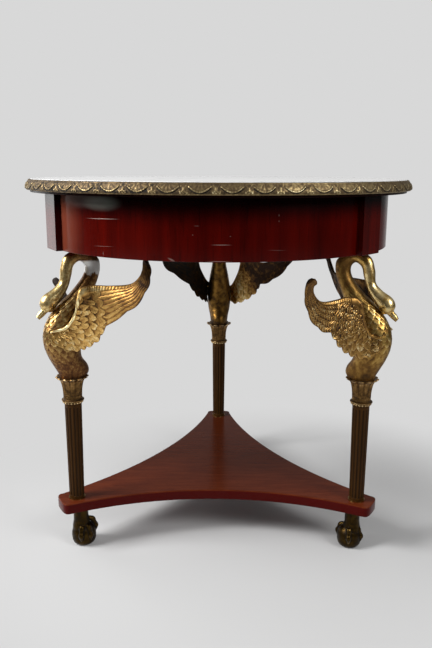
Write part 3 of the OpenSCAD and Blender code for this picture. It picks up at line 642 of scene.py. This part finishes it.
# How much brighter the bill is, and the foot of the breast, lightened on the back swan as painted light
bill_tones = {"left": 0.1, "right": -0.1, "back": 0}
seat_painted_light = {"left": 0, "right": 0, "back": 0.16}
for leg, name in enumerate(leg_names):
    seat_tone = seat_painted_light[name] * hump(station - 2, 2)
    own_relief = swan_relief + bill_tones[name] * bill + seat_tone
    on_pad = np.ones(neck_pad[..., 0].size)
    piece("swan_casting_" + name, [skin(on_leg(swan_grid, leg)), skin(on_leg(neck_pad, leg))],
          swan_finishes[name], "swan_" + name, "gilt_bronze", crease=60,
          relief=np.concatenate([own_relief.ravel(), 0.8 * on_pad]),
          mended=np.concatenate([solder.ravel(), 0 * on_pad]))


# Wings: two gilt-bronze castings for each swan, pinned to the breast under a raised front edge. A wing is one
# cambered sheet between a leading and a trailing edge; small feathers near the shoulder give way to long ones
# towards the tip.
# Leading edge out, sideways and up, then trailing edge out, sideways and up; sideways is away from the swan
left_edges = np.array([
    [45, 22, 102, 45, 24, 79], [17, 34, 114, 14, 31, 63], [4, 49, 143, -9, 33, 63], [3, 56, 166, -22, 43, 70],
    [-5, 58, 187, -37, 60, 86], [-30, 62, 192, -46, 77, 112], [-58, 80, 192, -68, 104, 137],
    [-88, 104, 196, -89, 133, 162], [-99, 122, 210, -104, 146, 192], [-105, 126, 225, -111, 146, 213],
    [-106, 126, 238, -115, 136, 232], [-109, 126, 246, -111, 129, 246]], float)
right_edges = np.array([
    [41, 24, 95, 46, 24, 70], [22, 35, 103, 26, 32, 55], [14, 49, 133, 3, 50, 58], [13, 56, 158, -9, 74, 70],
    [2, 58, 172, -18, 97, 90], [-15, 70, 175, -28, 108, 111], [-28, 93, 172, -39, 130, 120],
    [-40, 118, 171, -46, 160, 142], [-45, 140, 178, -47, 184, 170], [-46, 160, 195, -47, 194, 191],
    [-41, 170, 211, -45, 190, 212], [-36, 172, 219, -40, 180, 223]], float)
wing_t, camber, scallop_depth, seat_gap = 5.0, 5.0, 5.0, 0.3
hinge = np.array([10.0, 32.0, 85.0])
# Shares of the span where the short feathers start, the long ones start, and the plain tip starts
root_at, long_at, tip_at = 0.12, 0.46, 0.94
scallops, long_scallops, short_rows = 5, 4, 6
# Raised front edge as a share of the chord
band_w = 0.16
# How each wing was bent when it was fitted: dropped, then swept back, in degrees
bends = {"left": {"left": (0, 0), "right": (18, 0)}, "right": {"left": (0, 12), "right": (0, 0)},
         "back": {"left": (0, 0), "right": (0, 0)}}
# For each hand: the place sideways and up that the feathers fan out from, length of a row, number of long
# feathers, depth of the barbs, height of the front edge, its tone, raised on the left hand as painted light,
# and how bright the wing's inside is, as shares of its outside, over the short feathers and over the long
# ones, which is painted shade, lifted on the right hand's short feathers as a painted glint
chasing = {"left": ((-45, 130), 16.0, 7, 0.06, 3.6, 1.0, (0.5, 0.5)),
           "right": ((0, 125), 12.0, 5, 0.36, 0.9, 0.5, (1.15, 0.2))}


def breast_half(out, up):
    """Half width of the breast at a place: the station's half width times the ellipse's height there."""
    near = through(stations, np.linspace(0, breast_end / (len(stations) - 1), 120))
    level = (near[:, 1] + near[:, 3]) / 2
    outer, inner, half = (np.interp(up, level, near[:, k]) for k in (0, 2, 4))
    off = (out - (outer + inner) / 2) / ((outer - inner) / 2)
    return np.where(np.abs(off) < 1, half * np.sqrt(np.maximum(1 - off ** 2, 0)), 0)


def wing(edges, drop, sweep, fan, row_mm, lanes, barbed, band_lift, band_tone, inside_tone):
    """A wing's closed grid and its tones: rings across the chord, out over the outer face and back over the
    inner one. Share u runs along the span, v across it. The sheet is straight from edge to edge, turned about
    the hinge and kept off the breast; camber, thickness and chased relief are added along its normal."""
    span, chord = 380, 120
    u = np.linspace(0, 1, span)[:, None]
    t = np.linspace(0, 1, chord)
    v = (t - 0.7 * np.sin(math.tau * t) / math.tau)[None, :]
    lowered = float(drop > 0)

    # The flat sheet, scalloped along its rear edge; a lowered wing has a narrow, rounded tip
    edge = through(edges, u[:, 0])
    lead, trail = edge[:, None, :3], edge[:, None, 3:]
    down = (trail - lead) / np.linalg.norm(trail - lead, axis=2, keepdims=True)
    short = (u > root_at) & (u < long_at)
    long = (u >= long_at) & (u < tip_at)
    past_root, past_short = (u - root_at) / (long_at - root_at), (u - long_at) / (tip_at - long_at)
    scallop = short * np.abs(np.sin(scallops * math.pi * past_root))
    scallop = scallop + long * 0.6 * np.abs(np.sin(long_scallops * math.pi * past_short))
    narrow = 1 - 0.12 * lowered * ramp(u - 0.72, 0.1)
    round_end = np.sqrt(np.clip(1 - lowered * (np.maximum(u - 0.9, 0) / 0.1) ** 2, 0.03, 1))
    flat = lead + (trail - lead) * ((0.5 + (v - 0.5) * round_end) * narrow)[..., None]
    sheet = flat + down * (scallop_depth * scallop * v ** 2)[..., None]

    # Dropped and swept about the hinge, more and more along the span, and kept off the breast
    ease = ramp(u - 0.08, 0.3)
    d, s = np.radians(drop) * ease, np.radians(sweep) * ease
    x, y, z = np.moveaxis(sheet - hinge, -1, 0)
    y, z = y * np.cos(d) + z * np.sin(d), z * np.cos(d) - y * np.sin(d)
    sheet = hinge + np.stack([x * np.cos(s) - y * np.sin(s), y * np.cos(s) + x * np.sin(s), z], -1)
    rest = np.where(sheet[..., 2] < 150, breast_half(sheet[..., 0], sheet[..., 2]) + seat_gap + wing_t / 2, 0)
    sheet[..., 1] = np.maximum(sheet[..., 1], rest)
    normal = np.cross(np.gradient(sheet, axis=1), np.gradient(sheet, axis=0))
    normal /= np.maximum(np.linalg.norm(normal, axis=2, keepdims=True), 1e-6)
    normal *= np.sign(normal[span // 2, chord // 2, 1])
    bulge = camber * np.sin(math.pi * v) * ramp(u - 0.3, 0.25)
    rounded = np.sqrt(1 - (1 - ramp(np.minimum(v, 1 - v), 0.05)) ** 2)
    half = wing_t / 2 * (1 - 0.5 * v) * (1 - 0.3 * u) * rounded * round_end
    knob = 5.0 * hump(u - 0.96, 0.05 + 0.1 * lowered) * rounded * round_end

    # Short feathers: rows counted in from the scallops, and columns by bearing from the fan's point, one to a
    # scallop; rows further in are less regular
    across_mm = 0.5 * flat[..., 1] - 0.87 * flat[..., 0] - fan[0]
    below_mm = fan[1] - flat[..., 2]
    away = np.hypot(across_mm, below_mm)
    bearing = np.arctan2(across_mm, below_mm)
    at_edge = short[:, 0]
    edge_bearing = bearing[at_edge, -1]
    edge_count = scallops * past_root[at_edge, 0]
    far_round = 4.0
    beyond = far_round * scallops / (edge_bearing[-1] - edge_bearing[0])
    count = np.interp(bearing, [edge_bearing[0] - far_round, *edge_bearing, edge_bearing[-1] + far_round],
                      [edge_count[0] - beyond, *edge_count, edge_count[-1] + beyond])
    row = short_rows + (away - np.interp(bearing, edge_bearing, away[at_edge, -1])) / row_mm
    further_in = np.clip(short_rows - row, 0, 1)
    row = row + further_in * 0.22 * np.sin(2.3 * count + 1)
    count = count + further_in * 0.16 * np.sin(2.9 * row)
    beside = np.abs(count % 1 - 0.5)
    last_tip = short_rows - 1 + np.sqrt(1 - 4 * beside ** 2)
    worn = ramp(0.2 + 0.25 * v - u, 0.1)
    fringe = barbed * (0.75 - 0.65 * worn) * np.sin(math.tau * (away / 5 + 1.5 * beside))
    small = feathers(count, np.maximum(row, 0)) + fringe

    # Long feathers: lanes across the chord, from under the short ones, in two tiers with a dark step between
    in_lane = (lanes * ramp(v - band_w, 1 - band_w) + 0 * u) % 1
    vane = np.sin(math.pi * in_lane ** 0.7) ** 0.6
    barbs = barbed * np.sin(math.tau * (44 * u + 2.0 * np.abs(in_lane - 0.5)))
    cover_row = 0.66 + 0.03 * v + 0.045 * np.sin(math.pi * in_lane)
    past_tips = 1 - 0.7 * np.exp(-np.maximum(row - last_tip, 0) * row_mm / 5)
    past_covers = 1 - 0.7 * np.exp(-np.clip(u - cover_row, 0, 1) / 0.02)
    covers = (0.7 * vane + 0.3) * past_tips + barbs
    quills = 0.9 * vane * past_covers * past_tips + barbs
    relief = np.where((row < last_tip) & (u < 0.62), small, np.where(u < cover_row, covers, quills))

    # Front edge: a raised, wavy roll with fine ticks; the tip is left plain
    band = np.sqrt(np.clip(1 - ((v - band_w / 2) / (band_w / 2)) ** 2, 0, 1))
    ticks = 0.25 * np.sin(math.tau * (64 * u + 6 * v)) * (u > 0.4)
    relief = np.where(v < band_w, 0.5 + 0.5 * band + ticks * band, relief)
    plain = ramp(u - 0.72, 0.22)
    relief = np.clip(relief * (1 - plain) + 0.5 * plain, 0, 1.1)
    waves = 1 + 0.3 * np.sin(math.tau * 18 * u)
    raised = band_lift * waves * np.sqrt(band) * (v < band_w) * np.clip((0.46 - u) / 0.16, 0.12, 1)

    # Both faces; the inner one has a third of the relief and half as many points across
    carve = (2.4 - (1.7 - 3 * barbed) * ramp(u - 0.4, 0.1)) * (relief - 0.85) * rounded
    outer_lift = bulge + half + knob * (1 + 0.4 * lowered) + raised + np.maximum(carve, -half * 0.85)
    inner_lift = bulge - half - knob * (1 - 0.4 * lowered) - 0.3 * carve
    outer_face, inner_face = sheet + normal * outer_lift[..., None], sheet + normal * inner_lift[..., None]

    # Tones: high feathers bright and a worn shoulder darker. Long feathers are darker as painted shade,
    # against the key lamp's light on them, and a lowered wing's tip darker still, as painted shade
    shoulder = np.exp(-((across_mm + fan[0] - 41) ** 2 + (flat[..., 2] - 172) ** 2) / 15 ** 2)
    tone = 0.12 + 0.7 * relief - 0.2 * shoulder - (0.38 - 0.75 * barbed) * ramp(u - 0.42, 0.2)
    # The front edge's own tone: lighter on the left hand, as painted light along its roll
    tone = np.where(v < band_w, tone + (band_tone - 0.8) * ramp(0.4 - u, 0.1), tone)
    tone = tone + worn * (0.03 + 0.25 * (0.74 - tone)) - 0.3 * lowered * ramp(u - 0.7, 0.1)
    tone = np.clip(tone, 0, 1)
    # The inner face: darker, as painted shade, but with a painted glint over the right hand's short feathers
    under = tone * np.interp(u, [0.25, 0.42], inside_tone)
    return np.concatenate([outer_face, inner_face[:, ::-2]], 1), np.concatenate([tone, under[:, ::-2]], 1)


# The same fire gilding as the swans, in three copies: one lightened as painted light, for wings that face
# the key lamp or show a glint, a middle one, and one darkened as painted shade
wing_finishes = {
    "bright": cast_metal("gilt_bronze_wing_painted_light", "#351f0d", "#966c38", "#dcb168", "#fff0ba", 0.34),
    "rubbed": cast_metal("gilt_bronze_wing_rubbed", "#20130a", "#76552f", "#b1884a", "#f8e2ac", 0.3),
    "shaded": cast_metal("gilt_bronze_wing_painted_shade", "#130c06", "#3d2914", "#80602f", "#caa45a", 0.3)}
# Wings that take the copy with painted light or the one with painted shade; all others take the middle one
wing_lighting = {("left", "left"): "bright", ("back", "left"): "shaded", ("back", "right"): "bright"}
for leg, name in enumerate(leg_names):
    for hand, edges, turn in (("left", left_edges, 1), ("right", right_edges, -1)):
        grid, relief = wing(edges, *bends[name][hand], *chasing[hand])
        grid = grid * (1, turn, 1) + (0, 0, swan_low)
        gilt = wing_finishes[wing_lighting.get((name, hand), "rubbed")]
        piece(f"{hand}_wing_of_{name}_swan", [skin(on_leg(grid, leg))], gilt,
              f"swan_{hand}_wing_{name}", "gilt_bronze", crease=70, relief=relief)


# Apron: three curved panels between three flat blocks, all veneered in upright mahogany, polished, and
# scratched on the front. Blocks stand 11 mm proud over the legs; beech corner and glue blocks behind them are
# left bare.
apron_low, apron_h = swan_low + arch_top, 108.2
apron_high = apron_low + apron_h
apron_r, apron_inner_r, ease = 354, 332, 1.2
block_back, block_front, block_half = 328, 365, 32
# Turn of each block; the right one was fitted 9 degrees forward of its leg
block_angles = [208.7, 321, 90]
# A broad pale orange patch by the left block, which is a painted sheen, then two cloudy patches, scratches
# and chips
painted_sheen_and_marks = [(-303, 668, 70, 130, 0, 0.36, "#94503a"), (-245, 727, 66, 20, 0, 0.12),
             (-203, 722, 46, 17, 0, 0.3, "#9aa096"), (-201, 694.8, 38, 0.9, -1.5, 0.7),
             (-200, 646.8, 24, 0.5, -3, 0.3), (-200.4, 634, 0.6, 4.6, 0, 0.35),
             (8.5, 656.6, 21, 0.8, 0, 0.5), (-33, 687.9, 6, 0.6, 0, 0.3), (-39.4, 672.9, 1.5, 1, 0, 0.35),
             (23.6, 670.9, 1.7, 0.8, 0, 0.3), (104.7, 705, 0.7, 2.6, 0, 0.3), (105, 695.3, 0.7, 2.2, 0, 0.3),
             (-76, 630.4, 9, 2.2, 25, 0.3), (5, 628.9, 26, 0.8, 0, 0.45), (103, 646.5, 20, 0.4, 2, 0.2)]
# Upright figure 26 mm wide, a deep wine red; near black up under the rim, which is painted shade of the
# rim's overhang and a painted dark reflection of its underside
apron_streaks = (38.0, 38.0, 2.6)
# Painted shade: the veneer turns near black from 682 mm up to the rim
shade = [("Z", 682, 732, "#040001", 0.95)]
apron_veneer = mahogany("polished_mahogany_apron", "#290201", "#530702", apron_streaks, bands=shade)
front_veneer = mahogany("polished_mahogany_front", "#290201", "#530702", apron_streaks, marks=painted_sheen_and_marks,
                        bands=shade)
# A panel's section: a rectangle with its four corners rounded
corner = np.linspace(0, math.pi / 2, 5)
box_r, box_z = apron_inner_r + ease, apron_low + ease
wide, tall = apron_r - apron_inner_r - 2 * ease, apron_h - 2 * ease
section = np.concatenate([
    np.stack([box_r + wide + ease * np.sin(corner), box_z - ease * np.cos(corner)], -1),
    np.stack([box_r + wide + ease * np.cos(corner), box_z + tall + ease * np.sin(corner)], -1),
    np.stack([box_r - ease * np.sin(corner), box_z + tall + ease * np.cos(corner)], -1),
    np.stack([box_r - ease * np.cos(corner), box_z - ease * np.sin(corner)], -1)])
for start, name in enumerate(["front", "right", "left"]):
    first = math.radians(block_angles[start])
    last = first + math.radians((block_angles[(start + 1) % 3] - block_angles[start]) % 360)
    clear = np.arcsin((block_half + 0.5) / section[:, 0])[None, :]
    share = np.linspace(0, 1, 140)[:, None]
    turn = (first + clear) * (1 - share) + (last - clear) * share
    panel = around(section[:, 0], turn, section[:, 1])
    piece("apron_veneer_" + name, [skin(panel)], front_veneer if name == "front" else apron_veneer,
          "apron_panel_" + name, "mahogany")
for leg, name in enumerate(leg_names):
    a = math.radians(block_angles[leg])
    out, side = np.array([math.cos(a), math.sin(a)]), np.array([-math.sin(a), math.cos(a)])
    corners = [block_back * out - block_half * side, block_front * out - block_half * side,
               block_front * out + block_half * side, block_back * out + block_half * side]
    outline = np.concatenate([straight(corners[k], corners[(k + 1) % 4], 14) for k in range(4)])
    piece("apron_block_veneer_" + name, [skin(slab(outline, sum(corners) / 4, apron_low, apron_high, ease))],
          apron_veneer, "apron_block_" + name, "mahogany")
# Sawn beech: pale, dull and fuzzy, with flecks 4 mm wide
finish, tree, place = new_finish("sawn_beech")
flecks = add(tree, "Mapping", {"Vector": place, "Scale": (260.0, 260.0, 18.0)})
figure = add(tree, "TexNoise", {"Vector": flecks, "Scale": 1.0, "Detail": 4.0})
colour = add(tree, "Mix", {0: figure, 6: paint("#8a6440"), 7: paint("#b98f63")}, data_type="RGBA")
saw = add(tree, "Bump", {"Height": figure, "Strength": 0.4, "Distance": 0.0004})
shader = add(tree, "BsdfPrincipled", {"Base Color": colour, "Roughness": 0.75, "Normal": saw})
add(tree, "OutputMaterial", {"Surface": shader})
dress(finish, "glue_blocks", *("corner_block_" + n for n in leg_names))


# Top board: a plain mahogany disc screwed to the glue blocks, stained near black and hardly polished. Only
# its edge shows, as a dark line under the rim. It keeps the frame's own shape.
dress(mahogany("stained_mahogany_board", "#120403", "#1f0906", (8.0, 70.0, 70.0), 0.4), "top_board")


# Rim: six lengths of cast gilt metal pinned to the board's edge, chased with hanging garlands. Each garland
# hangs between two tassels under a fan of leaves; the relief is added to a moulded profile carried round.
rim_low, rim_h, rim_r, rim_inner = apron_high + 4, 20.6, 400, 390
lengths, garlands_each, steps_each, seam = 6, 8, 424, 0.0005
# Share of the pitch that a garland takes up, the rest being its tassel's
garland_share = 0.7
# The side of the rim that painted shade darkens
painted_shade_side = math.radians(225)
# Outwards from the rim's radius, and up
profile = np.array([[-10, 0.0], [-4, 0.1], [-2.2, 0.5], [-1.0, 1.6], [-0.4, 3.0], [-0.2, 6.2], [-0.9, 9.2],
                    [-2.3, 12.6], [-3.9, 15.4], [-5.0, 17.4], [-5.2, 18.2], [-5.8, 19.6], [-7.2, 20.5],
                    [-10, 20.6]])
# Buds round each knot: their size, and places along and up
bud_r = 1.25
buds = ((-5.2, 4.4), (-2.6, 6.6), (0.2, 3.4), (3.0, 5.8), (5.6, 3.8))
steps = np.concatenate([[0], np.cumsum(np.hypot(*np.diff(profile, axis=0).T))])
face_start, face_end = steps[2], steps[10]
walk = np.concatenate([np.linspace(0, face_start, 4), np.linspace(face_start, face_end, 31)[1:],
                       np.linspace(face_end, steps[-1], 5)[1:]])
inset = np.interp(walk, steps, profile[:, 0])[None, :]
up = np.interp(walk, steps, profile[:, 1])[None, :]
pitch = math.tau * rim_r / (lengths * garlands_each)
shells, tones = [], []
for k in range(lengths):
    turn = np.linspace(k, k + 1, steps_each)[:, None] * math.tau / lengths
    turn[0] += seam
    turn[-1] -= seam
    # Garland: a beaded chain that hangs in a curve, with a groove under it and rays fanned out above
    along = (turn * rim_r / pitch) % 1
    across = (2 * along - 1) / garland_share
    within = ramp(1.04 - np.abs(across), 0.1)
    hang = 5.4 + 9.2 * across ** 2
    off = (up - hang) / np.sqrt(1 + (45 * across / pitch) ** 2)
    chain = within * hump(off, 1.1) * (1 + 0.25 * np.cos(math.tau * 12 * along))
    groove = within * hump(off + 2.2, 0.8)
    fan = np.arctan2(up - 22, (along - 0.5) * pitch)
    rays = within * np.clip(off / 2 - 0.6, 0, 1) * (0.7 + 0.3 * np.cos(11 * fan)) * (up < 17.5)
    # Tassel: a tapering tail under a knot with buds, two curls and a pair of leaves
    mm_off = ((along + 0.5) % 1 - 0.5) * pitch
    tassel = hump(mm_off, 1.3 + 0.1 * (14 - up))
    tassel = 0.6 * tassel * ramp(up - 2.6, 1.2) * ramp(13.5 - up, 2)
    knot = 0.6 * np.exp(-(mm_off / 2.2) ** 2 - ((up - 12.2) / 1.9) ** 2)
    for bud_along, bud_up in buds:
        from_bud = ((mm_off - bud_along) / bud_r) ** 2 + ((up - bud_up) / bud_r) ** 2
        knot = np.maximum(knot, hump(from_bud, 1))
    curls = hump(np.abs(mm_off) - 5.0 - 0.25 * (up - 4), 1.1) * hump(up - 5.6, 2.6)
    leaf = hump(np.abs(mm_off) - 2.0 * np.abs(up - 9) / 3, 1.0) * hump(up - 15.6, 1.6)
    on_face = ramp(up - 1.8, 1.2) * ramp(19.2 - up, 1.6) * (inset > -9)
    relief = on_face * (1.5 * np.maximum(chain, np.maximum(1.2 * tassel, knot)) + 0.9 * curls + 0.7 * leaf
                        + 0.55 * rays - 0.6 * groove)
    radius = np.minimum(rim_r + inset - 0.9 + relief, rim_r - 0.02)
    face, rear = around(radius, turn, rim_low + up), around(rim_inner, turn, rim_low + rim_h / 2)
    shells.append(skin(np.concatenate([face, rear], 1)))
    # Painted shade, against the key lamp's glare: the rim darkens towards its left side
    left_painted_shade = 0.2 * np.maximum(np.cos(turn - painted_shade_side), 0) ** 4
    tone = 0.38 + 0.3 * relief - 0.22 * groove * on_face + 0.2 * (up < 2.4) + 0.12 * (up > 18) - left_painted_shade
    tone = np.clip(tone, 0, 1)
    tones.append(np.concatenate([tone, np.full((len(turn), 1), 0.3)], 1).ravel())
# Cast metal thinly gilt and dulled by handling: greyish gold with brown dirt round the garlands
rim_metal = cast_metal("gilt_cast_rim", "#120c06", "#6b593f", "#a59268", "#f0e2b8", 0.4, 6.0)
piece("garland_rim", shells, rim_metal, "rim_segments", "gilt_rim", crease=75, relief=np.concatenate(tones))


# Marble: one polished white slab with faint grey veins, lying loose in the rim; it lifts straight out.
# It keeps the frame's own shape, with its eased edge: clouds of white 200 mm wide, thin veins, clear polish.
finish, tree, place = new_finish("polished_white_marble")
warp = add(tree, "TexNoise", {"Vector": place, "Scale": 5.0, "Detail": 4.0})
bent = add(tree, "VectorMath", {0: warp.outputs["Color"], 1: (0.35, 0.35, 0.35), 2: place},
           operation="MULTIPLY_ADD")
veins = add(tree, "TexNoise", {"Vector": bent, "Scale": 3.0, "Detail": 5.0})
near_vein = add(tree, "Math", {0: veins, 1: 0.5}, operation="SUBTRACT")
thin = add(tree, "Math", {0: near_vein}, operation="ABSOLUTE")
vein = add(tree, "MapRange", {0: thin, 1: 0.013, 2: 0.0, 4: 0.4}, interpolation_type="SMOOTHSTEP")
cloud = add(tree, "Mix", {0: warp, 6: paint("#f1f0ee"), 7: paint("#e2e2e3")}, data_type="RGBA")
colour = add(tree, "Mix", {0: vein, 6: cloud, 7: paint("#a7a9ac")}, data_type="RGBA")
shader = add(tree, "BsdfPrincipled", {"Base Color": colour, "Roughness": 0.22, "Coat Weight": 0.3,
                                      "Coat Roughness": 0.08})
add(tree, "OutputMaterial", {"Surface": shader})
dress(finish, "marble_top")
